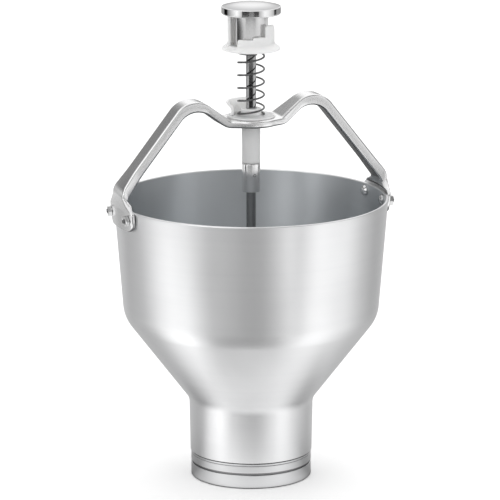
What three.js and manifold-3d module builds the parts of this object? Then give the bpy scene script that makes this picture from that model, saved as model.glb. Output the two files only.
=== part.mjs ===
// Hand-held pancake batter dispenser: a spun aluminium hopper with a wavy cast handle across its rim.
// A thumb knob on a sprung rod drives a piston through the metering cylinder at the bottom of the neck,
// and a stepped nylon dial under the knob sets how far it goes.
// Millimetres, +Z up, origin at the centre of the face it stands on. The handle lies along X.
import * as THREE from "three";
import { mergeVertices } from "three/addons/utils/BufferGeometryUtils.js";
import Module from "manifold-3d";

const wasm = await Module();
wasm.setup();

// Fits and cuts
const seat = 0.25; // between two faces that seat on each other
const runningFit = 0.3; // radial gap of a piece that slides or turns in another
const overrun = 1.5; // how far a cut passes the face that it starts from

// Facets of rounded corners
const bendStep = 14; // degrees to a facet
const smallBend = 3; // bends under this radius take smallBendStep instead
const smallBendStep = 34;
const sectorStep = 9; // degrees to a facet of a profile swept through part of a turn
const bendRoomShare = 0.48; // of the shorter straight run beside a bend, the most that it takes

// Hopper, spun from sheet
const rimRadius = 102.5;
const rimHeight = 213.5;
const sheet = 2.2;
const shoulderRadius = 95.3; // where the tapered side meets the cone
const shoulderHeight = 124.3;
const shoulderBend = 24.8;
const coneFootRadius = 46.5; // where the cone meets the neck
const coneFootHeight = 60.4;
const coneFootBend = 13;
const neckRadius = 45.7;
const lipBendShare = 0.48; // radius on each side of the lip, of the sheet

// Metering cylinder: the turned base ring with its spigot up inside the neck
const baseHeight = 19;
const baseStep = 0.5; // the ring is this much smaller than the neck
const baseChamfer = 0.8;
const trimGrooveHeight = 11.2;
const trimGrooveWidth = 2;
const trimGrooveDepth = 1;
const spigotLength = 27;
const boreRadius = 30;
const funnelDepth = 8;
const funnelLand = 1.6; // rim left round the top of the funnel
const cylinderSealWire = 2.2;
const cylinderSealHeight = 31.5;
const sealSqueeze = 0.2; // gap that the modelled seal keeps to each wall

// Piston, valve disc and what holds them on the rod
const pistonHeight = 50;
const pistonThickness = 8;
const pistonGap = 0.8; // radial, closed by the seal
const pistonCrown = 2.4; // slope of the upper face, so that batter runs off it
const pistonSealWidth = 2.8;
const pistonSealDepth = 1.6;
const valveHeight = 6;
const valveThickness = 4;
const valveGap = 0.5;
const valveChamfer = 0.8;
const spacerWall = 2.2;
const endNutAcross = 10;
const endNutThickness = 4.4;

// Rods and their coupling
const lowerRodRadius = 3.6;
const tailRadius = 3;
const upperRodRadius = 3.75;
const rodChamfer = 0.5;
const sleeveRadius = 6.85;
const sleeveLength = 21.6;
const sleeveChamfer = 0.6;
const setScrewRadius = 1.3;
const setScrewDrop = 8.7; // below the top of the sleeve
const setScrewAzimuth = 274;

// Handle, one casting
const bossHeight = 269.4; // underside
const bossThickness = 5.4;
const bossRadius = 20.7;
const bossRound = 1.8;
const barWidth = 17;
const barThickness = 6;
const barEdge = 1;
const barBlend = 15; // plan radius where the bar runs into the boss
const dipReach = 21.4; // where the bar leaves the flat boss
const dipSlope = 36.6; // degrees
const dipBend = 8;
const armInset = 8.8; // a point on the arm's outer face: how far inside the rim's radius
const armRise = 28.1; // and how far above the rim
const armSlope = 51.6; // degrees
const crestRadius = 23.5;
const footThickness = 2.6;
const footDrop = 15; // how far the foot hangs below the rim
const footHalfWidth = 25.3;
const footCorner = 9;
const footCornerShares = [0, 0.08, 0.3, 0.62, 1]; // sections of the corner, as shares of its height
const earRise = 3.5; // from the screws' level up to where the ears start to draw in
const earShares = [0, 0.2, 0.36, 0.52, 0.66, 0.8, 1]; // sections from there up to the ankle
const ankleHeight = 9.4; // above the rim
const ankleHalfWidth = 12;
const ankleThickness = 4.6;
const armTaper = 21; // height above the ankle where the arm is down to the bar's width
const footBend = 8;
const broadFaceShares = [-1, -0.5, 0, 0.5, 1]; // corners across each broad face
const rimShelf = 0.8; // height above the rim where the casting starts to step in over it
const rimStep = 3.3; // height that the step takes

// Screws and nuts that hold the feet
const screwDrop = 6; // below the rim
const screwAngle = 10.2; // degrees either side of the handle
const screwRadius = 2;
const screwHeadRadius = 4;
const screwHeadHeight = 2.3;
const screwCrownShare = 0.55; // of the head's radius, where its dome starts to fall away
const screwSideShare = 0.35; // of the head's height, its upright side
const screwTipShare = 0.75; // of the thread's radius, at its chamfered end
const screwEnd = 0.8; // how far the thread stands out of the nut
const nutAcross = 7;
const nutThickness = 2.8;

// Guide bush, one nylon moulding that stands in the boss
const bushFlangeRadius = 18;
const bushFlangeThickness = 0.9;
const bushTubeRadius = 6.85;
const bushDrop = 29.4; // below the boss
const bushHubRadius = 7.7;
const bushHubHeight = 5.3;
const bushEdge = 0.6;
const wingRadius = 14.7;
const wingWall = 1.8;
const wingHeight = 10.5;
const wingLipRadius = 18.7;
const wingLipEdge = 1.2;
const wingFlare = 6; // height over which the lip flares out
const wingBend = 5;
const wingFrom = 80; // degrees
const wingTo = 170;

// Return spring
const wireRadius = 0.7;
const coilRadius = 9.7;
const springLength = 47.6;
const coilPitch = 9.65;
const closedCoil = 195; // degrees of flat wire at the bottom
const springStart = 325; // azimuth of the lower wire end
const stepsPerTurn = 8;
const wireSides = 5;

// Thrust washer
const washerRadius = 10.9;
const washerThickness = 1.2;

// Portion dial, a nylon cup with a stepped wall
const dialFlangeRadius = 21.5;
const dialFlangeEdge = 1.7;
const dialFlareHeight = 4.6;
const dialWallRadius = 17.4;
const dialWall = 1.9;
const dialFloor = 3.2;
const dialEdge = 0.6;
const wallStart = 80; // degrees, the full-height wall's two ends
const wallEnd = 177;
// Cuts that leave the wall's steps, each between two azimuths and down to a share of its height. The far end
// of the highest step falls away in a curve.
const wallCutShares = [
  [wallEnd, wallStart + 360, 0.739],
  [325, wallStart + 360, 0.71],
  [330, wallStart + 360, 0.65],
  [334, wallStart + 360, 0.5],
  [wallEnd, 290, 0.428],
  [wallEnd, 255, 0.36],
  [wallEnd, 215, 0.114],
];
// Recesses under the flange that let the wing in further, as shares of camDepth.
const camDepth = 2;
const camInner = 13;
const camOuter = 19.3;
const camStepShares = [
  [-45, 55, 0.5],
  [195, 295, 1],
];

// Knob and its core
const coreRadius = 12.7;
const coreLength = 23;
const coreChamfer = 0.5;
const knobRadius = 22;
const knobBand = 5.4;
const knobRise = 2.9; // of the dome above the band
const knobEdge = 0.9;
const knobSkin = 4; // left above the rod's socket
const domeShares = [0.96, 0.8, 0.58, 0.32]; // of the knob's radius, where the dome's facets meet
const indexPinRadius = 1.4;
const indexPinDrop = 2.55; // its centre below the top of the core
const indexPinAzimuth = 66;
const indexPinReach = 16.9;

const materials = {
  spun: new THREE.MeshStandardMaterial({ color: 0xc4c5c8, metalness: 1, roughness: 0.34 }),
  turned: new THREE.MeshStandardMaterial({ color: 0xc2c3c6, metalness: 1, roughness: 0.3 }),
  cast: new THREE.MeshStandardMaterial({ color: 0xcfd0d2, metalness: 1, roughness: 0.2 }),
  chrome: new THREE.MeshStandardMaterial({ color: 0xd8d8da, metalness: 1, roughness: 0.08 }),
  steel: new THREE.MeshStandardMaterial({ color: 0x9c9da0, metalness: 1, roughness: 0.22 }),
  spring: new THREE.MeshStandardMaterial({ color: 0x77787b, metalness: 1, roughness: 0.3 }),
  nylon: new THREE.MeshStandardMaterial({ color: 0xe6e6e4, metalness: 0, roughness: 0.45 }),
  seal: new THREE.MeshStandardMaterial({ color: 0xd9d9d4, metalness: 0, roughness: 0.6 }),
};

const radians = THREE.MathUtils.degToRad;
const polar = (radius, degrees) => [
  radius * Math.cos(radians(degrees)),
  radius * Math.sin(radians(degrees)),
];

// A closed geometry as a solid, with its faces turned to point out.
function toSolid(geometry) {
  const bare = new THREE.BufferGeometry();
  bare.setAttribute("position", geometry.getAttribute("position"));
  if (geometry.index) bare.setIndex(geometry.index);
  const merged = mergeVertices(bare, 1e-3);
  const triVerts = new Uint32Array(merged.index.array);
  const vertProperties = merged.attributes.position.array;
  const made = new wasm.Manifold(new wasm.Mesh({ numProp: 3, vertProperties, triVerts }));
  if (made.volume() > 0) return made;
  const flipped = triVerts.map((_, i) => triVerts[i - (i % 3) + 2 - (i % 3)]);
  return new wasm.Manifold(new wasm.Mesh({ numProp: 3, vertProperties, triVerts: flipped }));
}

function toGeometry(solid) {
  const { vertProperties, triVerts } = solid.getMesh();
  const geometry = new THREE.BufferGeometry();
  geometry.setAttribute("position", new THREE.BufferAttribute(vertProperties, 3));
  geometry.setIndex(new THREE.BufferAttribute(triVerts, 1));
  geometry.computeVertexNormals();
  return geometry;
}

// A polyline with rounded corners. Each corner is [across, up, bend radius], and a bend is limited by
// the straight runs beside it.
function rounded(corners, closed = false) {
  const points = [];
  const count = corners.length;
  corners.forEach(([x, y, bend = 0], i) => {
    const corner = new THREE.Vector2(x, y);
    if (!bend || (!closed && (i === 0 || i === count - 1))) {
      points.push(corner);
      return;
    }
    const before = new THREE.Vector2(...corners[(i + count - 1) % count]).sub(corner);
    const after = new THREE.Vector2(...corners[(i + 1) % count]).sub(corner);
    const room = bendRoomShare * Math.min(before.length(), after.length());
    before.normalize();
    after.normalize();
    const half = Math.acos(THREE.MathUtils.clamp(before.dot(after), -1, 1)) / 2;
    const radius = Math.min(bend, room * Math.tan(half));
    const centre = before.clone().add(after).setLength(radius / Math.sin(half)).add(corner);
    const start = corner.clone().addScaledVector(before, radius / Math.tan(half)).sub(centre);
    const sweep = (2 * half - Math.PI) * Math.sign(before.cross(after));
    const facet = radians(bend < smallBend ? smallBendStep : bendStep);
    const steps = Math.max(2, Math.ceil(Math.abs(sweep) / facet));
    for (let k = 0; k <= steps; k++)
      points.push(start.clone().rotateAround(new THREE.Vector2(), (sweep * k) / steps).add(centre));
  });
  return points;
}

// A solid turned about Z. The profile is a list of [radius, height, bend] corners; one that stays off
// the axis closes on itself.
function turned(corners, segments = 32) {
  const open = corners[0][0] === 0;
  const points = rounded(corners, !open);
  if (!open) points.push(points[0].clone());
  return toSolid(new THREE.LatheGeometry(points, segments).rotateX(Math.PI / 2));
}

// A plain ring or disc between two heights, for holes and simple washers.
function ring(inner, outer, low, high, segments = 32) {
  if (!inner) return turned([[0, low], [outer, low], [outer, high], [0, high]], segments);
  return turned([[inner, low], [outer, low], [outer, high], [inner, high]], segments);
}

// A row of closed loops of points joined into one closed skin, with both ends capped. The outline is a
// loop in its own plane, seen against the way that the row runs.
function loft(loops, capOutline) {
  const size = loops[0].length;
  const positions = loops.flat(2);
  const index = [];
  for (let i = 0; i < loops.length - 1; i++)
    for (let j = 0; j < size; j++) {
      const a = i * size + j;
      const b = i * size + ((j + 1) % size);
      index.push(a, b, b + size, a, b + size, a + size);
    }
  const last = (loops.length - 1) * size;
  const clockwise = THREE.ShapeUtils.isClockWise(capOutline);
  for (const [a, second, third] of THREE.ShapeUtils.triangulateShape(capOutline, [])) {
    const [b, c] = clockwise ? [third, second] : [second, third];
    index.push(a, c, b, last + a, last + b, last + c);
  }
  const geometry = new THREE.BufferGeometry();
  geometry.setAttribute("position", new THREE.Float32BufferAttribute(positions, 3));
  geometry.setIndex(index);
  return toSolid(geometry);
}

// A profile of [radius, height, bend] corners swept through part of a turn.
function sector(corners, from, to) {
  const outline = rounded(corners, true);
  const steps = Math.ceil((to - from) / sectorStep);
  const loops = [];
  for (let i = 0; i <= steps; i++) {
    const azimuth = from + ((to - from) * i) / steps;
    loops.push(outline.map((p) => [...polar(p.x, azimuth), p.y]));
  }
  return loft(loops, outline);
}

const box = (inner, outer, low, high) => [[inner, low], [outer, low], [outer, high], [inner, high]];
const sectorBox = (inner, outer, low, high, from, to) => sector(box(inner, outer, low, high), from, to);

// Turns a solid that is modelled along +Z so that it points out along a radius, through a point at the
// given radius and height. A tilt tips its outer end down, and it sits further along its axis by along.
function radialMatrix(radius, height, azimuth, tilt = 0, along = 0) {
  const matrix = new THREE.Matrix4().makeRotationZ(radians(azimuth));
  matrix.multiply(new THREE.Matrix4().makeTranslation(radius, 0, height));
  matrix.multiply(new THREE.Matrix4().makeRotationY(Math.PI / 2 + radians(tilt)));
  return matrix.multiply(new THREE.Matrix4().makeTranslation(0, 0, along));
}
const placed = (solid, matrix) => solid.transform(matrix.toArray());

const hex = (across) => across / Math.sqrt(3); // corner radius of a hexagon from its width across flats

// Levels that follow from the sizes above
const seamHeight = baseHeight + seat;
const bossTop = bossHeight + bossThickness;
const bushFlangeBottom = bossTop + seat;
const bushFlangeTop = bushFlangeBottom + bushFlangeThickness;
const bushBottom = bossHeight - bushDrop;
const springBottom = bushFlangeTop + seat;
const washerBottom = springBottom + springLength + seat;
const dialBottom = washerBottom + washerThickness + seat;
const coreBottom = dialBottom + dialFloor + seat;
const coreTop = coreBottom + coreLength;
const knobBottom = coreTop + seat;
const dialTop = knobBottom - seat;
const sleeveTop = bushBottom - seat;
const sleeveBottom = sleeveTop - sleeveLength;
const rodsMeet = sleeveTop - sleeveLength / 2;
const rodBore = upperRodRadius + runningFit;
const tailBore = tailRadius + runningFit;
const pistonTop = pistonHeight + pistonThickness;
const valveTop = valveHeight + valveThickness;
const endNutTop = valveHeight - seat;
const endNutBottom = endNutTop - endNutThickness;

// The hopper's side leans out by this much for each millimetre of height.
const sideLean = (rimRadius - shoulderRadius) / (rimHeight - shoulderHeight);
const sideTilt = THREE.MathUtils.radToDeg(Math.atan(sideLean));
const sideRadius = (height) => rimRadius - sideLean * (rimHeight - height);
const neckRadiusAt = (height) =>
  neckRadius + ((coneFootRadius - neckRadius) * (height - seamHeight)) / (coneFootHeight - seamHeight);

// Where the four handle screws pass through the wall
const screwHeight = rimHeight - screwDrop;
const screwAzimuths = [screwAngle, 180 - screwAngle, 180 + screwAngle, 360 - screwAngle];
const screwHole = screwRadius + runningFit;
const wallHere = sideRadius(screwHeight); // outer face of the wall at the screws
// Along a screw's axis, measured from there
const headSeat = -sheet - runningFit;
const nutSeat = runningFit + footThickness + seat;

// Moves each corner of an open outline in by the thickness, and adjusts its bends to stay parallel.
function inside(corners, thickness) {
  return corners.map(([x, y, bend = 0], i) => {
    const normals = [];
    for (const [from, to] of [[corners[i - 1], corners[i]], [corners[i], corners[i + 1]]])
      if (from && to) normals.push(new THREE.Vector2(from[1] - to[1], to[0] - from[0]).normalize());
    const [first, second = first] = normals;
    const scale = thickness / (1 + first.dot(second));
    const turnsIn = first.cross(second) > 0;
    const parallelBend = bend && bend + (turnsIn ? -thickness : thickness);
    return [x + (first.x + second.x) * scale, y + (first.y + second.y) * scale, parallelBend];
  });
}

function makeHopper() {
  const outer = [
    [neckRadius, seamHeight],
    [coneFootRadius, coneFootHeight, coneFootBend],
    [shoulderRadius, shoulderHeight, shoulderBend],
    [rimRadius, rimHeight],
  ];
  const inner = inside(outer, sheet).reverse();
  const lipBend = lipBendShare * sheet;
  outer[3] = [rimRadius, rimHeight, lipBend];
  inner[0] = [inner[0][0], rimHeight, lipBend];
  inner[3] = [inner[3][0], seamHeight];
  let shell = turned([...outer, ...inner], 52);
  for (const azimuth of screwAzimuths) {
    const drill = ring(0, screwHole, -sheet - overrun, overrun, 12);
    shell = shell.subtract(placed(drill, radialMatrix(wallHere, screwHeight, azimuth, sideTilt)));
  }
  return shell;
}

const spigotRadius = (height) => neckRadiusAt(height) - sheet - runningFit;
const spigotTop = baseHeight + spigotLength;
const sealGrooveDepth = cylinderSealWire - runningFit + 2 * sealSqueeze;

function makeMeteringCylinder() {
  const ringRadius = neckRadius - baseStep;
  const spigot = spigotRadius(seamHeight);
  const grooveLow = cylinderSealHeight - cylinderSealWire / 2 - seat;
  const grooveHigh = cylinderSealHeight + cylinderSealWire / 2 + seat;
  const half = trimGrooveWidth / 2;
  return turned([
    [boreRadius, 0],
    [ringRadius - baseChamfer, 0],
    [ringRadius, baseChamfer],
    [ringRadius, trimGrooveHeight - half],
    [ringRadius - trimGrooveDepth, trimGrooveHeight - half / 2],
    [ringRadius - trimGrooveDepth, trimGrooveHeight + half / 2],
    [ringRadius, trimGrooveHeight + half],
    [ringRadius, baseHeight],
    [spigot, baseHeight],
    [spigot, grooveLow],
    [spigot - sealGrooveDepth, grooveLow],
    [spigot - sealGrooveDepth, grooveHigh],
    [spigot, grooveHigh],
    [spigot, spigotTop],
    [spigot - funnelLand, spigotTop],
    [boreRadius, spigotTop - funnelDepth],
  ], 48);
}

// A ring of round wire about Z.
function torus(middle, wire, height, around, sides) {
  return toSolid(new THREE.TorusGeometry(middle, wire, sides, around).translate(0, 0, height));
}

function makeCylinderSeal() {
  const outside = neckRadiusAt(cylinderSealHeight) - sheet - sealSqueeze;
  return torus(outside - cylinderSealWire / 2, cylinderSealWire / 2, cylinderSealHeight, 40, 6);
}

// Unit normals of the bar's upper face on its two straight runs, in the XZ plane
const armNormal = new THREE.Vector2(Math.sin(radians(armSlope)), Math.cos(radians(armSlope)));
const dipNormal = new THREE.Vector2(-Math.sin(radians(dipSlope)), Math.cos(radians(dipSlope)));
const acrossAxis = new THREE.Vector2(1, 0);
const upAxis = new THREE.Vector2(0, 1);

// Where two lines meet, each given by its unit normal and its distance from the origin.
function meeting(normalA, levelA, normalB, levelB) {
  const spread = normalA.cross(normalB);
  const across = (levelA * normalB.y - levelB * normalA.y) / spread;
  const up = (normalA.x * levelB - normalB.x * levelA) / spread;
  return [across, up];
}

// Centre of the plan fillet between the bar and the boss, and where the fillet meets the boss
const barBlendY = barWidth / 2 + barBlend;
const barBlendX = Math.sqrt((bossRadius + barBlend) ** 2 - barBlendY ** 2);
const bossBlendReach = (barBlendX * bossRadius) / (bossRadius + barBlend);

const ankle = rimHeight + ankleHeight;
const footOuter = rimRadius + runningFit + footThickness;
const ankleInner = footOuter - ankleThickness;

// One face of the casting in the XZ plane, from the ankle up the arm, over the hump and down to the
// middle of the boss. The two faces have the same corners in the same order.
function barFace(footReach, bossLevel, isUpper) {
  const half = barThickness / 2;
  const outwards = isUpper ? half : -half;
  const below = isUpper ? 0 : barThickness;
  const armLevel = armNormal.dot(new THREE.Vector2(rimRadius - armInset, rimHeight + armRise)) - below;
  const dipMiddle = new THREE.Vector2(dipReach, bossHeight + bossThickness / 2);
  const dipLevel = dipNormal.dot(dipMiddle) + outwards;
  const [taperReach, taperLevel] = meeting(armNormal, armLevel + below, upAxis, ankle + armTaper);
  return rounded([
    [footReach, ankle],
    [...meeting(armNormal, armLevel, acrossAxis, footReach), footBend],
    [taperReach - below * armNormal.x, taperLevel - below * armNormal.y],
    [...meeting(armNormal, armLevel, dipNormal, dipLevel), crestRadius + outwards],
    [...meeting(dipNormal, dipLevel, upAxis, bossLevel), dipBend - outwards],
    [bossBlendReach, bossLevel],
    [0, bossLevel],
  ]);
}

// Sections of the casting from the bottom of a foot to the middle of the boss. Each has a point on the
// outer and on the inner face, the half width, and how much of the hopper's curve it follows.
function handleStations() {
  const stations = [];
  const innerFace = (z) => sideRadius(z) + runningFit;
  const footLow = rimHeight - footDrop;
  for (const share of footCornerShares) {
    const z = footLow + footCorner * share;
    const width = footHalfWidth - footCorner + footCorner * Math.sqrt(1 - (1 - share) ** 2);
    stations.push({ outer: [innerFace(z) + footThickness, z], inner: [innerFace(z), z], width, curve: 1 });
  }
  // The ears draw in to the ankle along a cosine, and the inner face steps in over the rim.
  const earTop = screwHeight + earRise;
  for (const share of earShares) {
    const z = THREE.MathUtils.lerp(earTop, ankle, share);
    const width = THREE.MathUtils.lerp(ankleHalfWidth, footHalfWidth, (1 + Math.cos(Math.PI * share)) / 2);
    const stepped = THREE.MathUtils.clamp((z - rimHeight - rimShelf) / rimStep, 0, 1);
    const outer = Math.min(innerFace(z) + footThickness, footOuter);
    const inner = THREE.MathUtils.lerp(Math.min(innerFace(z), rimRadius + runningFit), ankleInner, stepped);
    stations.push({ outer: [outer, z], inner: [inner, z], width, curve: 1 });
  }
  const upper = barFace(footOuter, bossTop, true);
  const lower = barFace(ankleInner, bossHeight, false);
  for (let i = 1; i < upper.length; i++) {
    const up = THREE.MathUtils.clamp((upper[i].y - ankle) / armTaper, 0, 1);
    const taper = THREE.MathUtils.lerp(ankleHalfWidth, barWidth / 2, up);
    const width = Math.max(taper, bossBlendWidth((upper[i].x + lower[i].x) / 2));
    stations.push({ outer: upper[i].toArray(), inner: lower[i].toArray(), width, curve: 1 - up });
  }
  return stations;
}

// Half width of the bar where it swells into the round boss.
function bossBlendWidth(x) {
  const reach = THREE.MathUtils.clamp(x, bossBlendReach, barBlendX);
  return barBlendY - Math.sqrt(barBlend ** 2 - (barBlendX - reach) ** 2);
}

// One cross-section of the casting: a bar with eased edges, bent round the hopper where it is a foot.
function handleLoop({ outer, inner, width, curve }, side) {
  const across = new THREE.Vector2(outer[0] - inner[0], outer[1] - inner[1]);
  const thickness = across.length();
  const edge = Math.min(barEdge, thickness / 3);
  const flat = width - edge;
  const profile = [
    ...broadFaceShares.map((share) => [share * flat, thickness]),
    [width, thickness - edge],
    [width, edge],
    ...broadFaceShares.map((share) => [-share * flat, 0]),
    [-width, edge],
    [-width, thickness - edge],
  ];
  return profile.map(([y, up]) => {
    const x = inner[0] + (across.x * up) / thickness;
    const z = inner[1] + (across.y * up) / thickness;
    const bow = curve * (x - Math.sqrt(Math.max(x * x - y * y, 0)));
    return [side * (x - bow), side * y, z];
  });
}

function makeHandle() {
  const stations = handleStations();
  const right = stations.map((station) => handleLoop(station, 1));
  // The same stations turned half a turn about Z; the two halves share the middle section.
  const left = stations.slice(0, -1).map((station) => handleLoop(station, -1));
  const mirrored = left.map((loop) => loop.map(([x, y, z]) => [x, -y, z]));
  const loops = [...right, ...mirrored.reverse()];
  const sole = right[0].map(([x, y]) => new THREE.Vector2(y, x));
  let casting = loft(loops, sole);
  const boss = turned([
    [0, bossHeight],
    [bossRadius, bossHeight, bossRound / 2],
    [bossRadius, bossTop, bossRound],
    [0, bossTop],
  ], 40);
  casting = casting.add(boss);
  const bore = bushTubeRadius + runningFit;
  casting = casting.subtract(ring(0, bore, bossHeight - overrun, bossTop + overrun, 28));
  for (const azimuth of screwAzimuths) {
    const drill = ring(0, screwHole, -overrun, footThickness + overrun * 2, 12);
    casting = casting.subtract(placed(drill, radialMatrix(wallHere, screwHeight, azimuth, sideTilt)));
  }
  return casting;
}

// A domed screw along +Z, with the underside of its head at z = 0.
function makeScrew() {
  const grip = nutSeat - headSeat + nutThickness + screwEnd;
  return turned([
    [0, -screwHeadHeight],
    [screwHeadRadius * screwCrownShare, -screwHeadHeight, screwHeadRadius],
    [screwHeadRadius, -screwHeadHeight * screwSideShare],
    [screwHeadRadius, 0],
    [screwRadius, 0],
    [screwRadius, grip - screwRadius * (1 - screwTipShare)],
    [screwRadius * screwTipShare, grip],
    [0, grip],
  ], 12);
}

function hexNut(across, thickness, hole) {
  const body = toSolid(new THREE.CylinderGeometry(hex(across), hex(across), thickness, 6)
    .rotateX(Math.PI / 2).translate(0, 0, thickness / 2));
  const dress = turned([
    [0, 0],
    [across / 2, 0],
    [hex(across), (hex(across) - across / 2) / 2],
    [hex(across), thickness - (hex(across) - across / 2) / 2],
    [across / 2, thickness],
    [0, thickness],
  ], 18);
  return body.intersect(dress).subtract(ring(0, hole, -overrun, thickness + overrun, 12));
}

function makeGuideBush() {
  const hubTop = bushFlangeTop + bushHubHeight;
  const body = turned([
    [rodBore, bushBottom],
    [bushTubeRadius, bushBottom, bushEdge],
    [bushTubeRadius, bushFlangeBottom],
    [bushFlangeRadius, bushFlangeBottom],
    [bushFlangeRadius, bushFlangeTop],
    [bushHubRadius, bushFlangeTop],
    [bushHubRadius, hubTop, bushEdge],
    [rodBore, hubTop],
  ], 32);
  const lipTop = bushFlangeTop + wingHeight;
  const wing = sector([
    [wingRadius - wingWall, bushFlangeBottom + bushFlangeThickness / 2],
    [wingRadius, bushFlangeBottom + bushFlangeThickness / 2],
    [wingRadius, lipTop - wingFlare, wingBend],
    [wingLipRadius, lipTop - wingLipEdge],
    [wingLipRadius, lipTop],
    [wingLipRadius - wingWall, lipTop],
    [wingRadius - wingWall, lipTop - wingFlare + wingWall, wingBend],
  ], wingFrom, wingTo);
  return body.add(wing);
}

// The spring's wire as one tube: closed flat coils at both ends with the pitch between them.
function makeSpring() {
  const low = springBottom + wireRadius;
  const high = springBottom + springLength - wireRadius;
  const rise = high - low;
  const risingTurns = rise / coilPitch;
  const turns = (2 * closedCoil) / 360 + risingTurns;
  const steps = Math.round(turns * stepsPerTurn);
  const middle = [];
  for (let i = 0; i <= steps; i++) {
    const wound = (turns * i) / steps;
    const up = THREE.MathUtils.clamp((wound - closedCoil / 360) / risingTurns, 0, 1);
    middle.push([...polar(coilRadius, springStart + 360 * wound), low + rise * up]);
  }
  const outline = [];
  for (let j = 0; j < wireSides; j++) {
    outline.push(new THREE.Vector2(...polar(wireRadius, (360 * j) / wireSides)));
  }
  const loops = middle.map(([x, y, z]) => {
    const length = Math.hypot(x, y);
    return outline.map((p) => [x * (1 + p.x / length), y * (1 + p.x / length), z + p.y]);
  });
  // Least gap from any point of the wire to points on it half a turn or more away
  let least = Infinity;
  for (let a = 0; a < middle.length; a++)
    for (let b = a + stepsPerTurn / 2; b < middle.length; b++) {
      const apart = new THREE.Vector3(...middle[a]).distanceTo(new THREE.Vector3(...middle[b]));
      least = Math.min(least, apart - 2 * wireRadius);
    }
  console.log(`spring: ${turns.toFixed(2)} turns, least gap to itself ${least.toFixed(2)} mm`);
  return loft(loops, outline);
}

function makePortionDial() {
  const inner = dialWallRadius - dialWall;
  let cup = turned([
    [rodBore, dialBottom],
    [dialFlangeRadius, dialBottom],
    [dialFlangeRadius, dialBottom + dialFlangeEdge, dialFlangeEdge / 2],
    [dialWallRadius, dialBottom + dialFlareHeight, dialWall],
    [dialWallRadius, dialTop, dialEdge],
    [inner, dialTop],
    [inner, dialBottom + dialFloor],
    [rodBore, dialBottom + dialFloor],
  ], 40);
  const wallHeight = dialTop - dialBottom;
  for (const [from, to, share] of wallCutShares) {
    const low = dialBottom + wallHeight * share;
    const cut = sectorBox(inner - runningFit, dialWallRadius + overrun, low, dialTop + overrun, from, to);
    cup = cup.subtract(cut);
  }
  for (const [from, to, share] of camStepShares) {
    const roof = dialBottom + camDepth * share;
    const recess = sectorBox(camInner, camOuter, dialBottom - overrun, roof, from, to);
    cup = cup.subtract(recess);
  }
  return cup;
}

function makeKnob() {
  const socketTop = knobBottom + knobBand + knobRise - knobSkin;
  const bandTop = knobBottom + knobBand;
  const domeRadius = (knobRadius ** 2 + knobRise ** 2) / (2 * knobRise);
  const dome = [];
  for (const share of domeShares) {
    const r = knobRadius * share;
    dome.push([r, bandTop + knobRise - domeRadius + Math.sqrt(domeRadius ** 2 - r * r)]);
  }
  return turned([
    [0, socketTop],
    [rodBore, socketTop],
    [rodBore, knobBottom],
    [knobRadius, knobBottom, knobEdge],
    [knobRadius, bandTop, knobEdge / 2],
    ...dome,
    [0, bandTop + knobRise],
  ], 40);
}

const pinHeight = coreTop - indexPinDrop;

function makeCore() {
  const barrel = turned([
    [rodBore, coreBottom],
    [coreRadius - coreChamfer, coreBottom],
    [coreRadius, coreBottom + coreChamfer],
    [coreRadius, coreTop],
    [rodBore, coreTop],
  ], 36);
  const hole = ring(0, indexPinRadius + runningFit / 2, 0, coreRadius + overrun, 16);
  return barrel.subtract(placed(hole, radialMatrix(0, pinHeight, indexPinAzimuth)));
}

function makeSleeve() {
  const tube = turned([
    [rodBore, sleeveBottom],
    [sleeveRadius - sleeveChamfer, sleeveBottom],
    [sleeveRadius, sleeveBottom + sleeveChamfer],
    [sleeveRadius, sleeveTop - sleeveChamfer],
    [sleeveRadius - sleeveChamfer, sleeveTop],
    [rodBore, sleeveTop],
  ], 24);
  const tapped = ring(0, setScrewRadius + runningFit / 2, 0, sleeveRadius + overrun, 16);
  return tube.subtract(placed(tapped, radialMatrix(0, sleeveTop - setScrewDrop, setScrewAzimuth)));
}

function makeUpperRod() {
  const top = knobBottom + knobBand + knobRise - knobSkin - seat;
  return turned([
    [0, rodsMeet + seat],
    [upperRodRadius - rodChamfer, rodsMeet + seat],
    [upperRodRadius, rodsMeet + seat + rodChamfer],
    [upperRodRadius, top],
    [0, top],
  ], 28);
}

function makeLowerRod() {
  const tailEnd = endNutBottom + seat;
  return turned([
    [0, tailEnd],
    [tailRadius - rodChamfer, tailEnd],
    [tailRadius, tailEnd + rodChamfer],
    [tailRadius, pistonTop + seat],
    [lowerRodRadius, pistonTop + seat],
    [lowerRodRadius, rodsMeet - seat],
    [0, rodsMeet - seat],
  ], 28);
}

const pistonRadius = boreRadius - pistonGap;

function makePiston() {
  const grooveMiddle = pistonHeight + pistonThickness / 2;
  const half = pistonSealWidth / 2 + seat;
  const depth = pistonSealDepth;
  return turned([
    [tailBore, pistonHeight],
    [pistonRadius - rodChamfer, pistonHeight],
    [pistonRadius, pistonHeight + rodChamfer],
    [pistonRadius, grooveMiddle - half],
    [pistonRadius - depth, grooveMiddle - half],
    [pistonRadius - depth, grooveMiddle + half],
    [pistonRadius, grooveMiddle + half],
    [pistonRadius, pistonTop - pistonCrown + rodChamfer],
    [lowerRodRadius * 2, pistonTop],
    [tailBore, pistonTop],
  ], 44);
}

function makePistonSeal() {
  const middle = pistonHeight + pistonThickness / 2;
  const inner = pistonRadius - pistonSealDepth + seat;
  const outer = boreRadius - pistonGap / 2;
  return ring(inner, outer, middle - pistonSealWidth / 2, middle + pistonSealWidth / 2, 44);
}

function makeValveDisc() {
  const outer = boreRadius - valveGap;
  return turned([
    [tailBore, valveHeight],
    [outer, valveHeight],
    [outer, valveTop - valveChamfer],
    [outer - valveChamfer, valveTop],
    [tailBore, valveTop],
  ], 44);
}

const part = new THREE.Group();
const hopperGroup = new THREE.Group();
const plungerGroup = new THREE.Group();
const dialGroup = new THREE.Group();
part.add(hopperGroup, plungerGroup);
plungerGroup.add(dialGroup);

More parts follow.
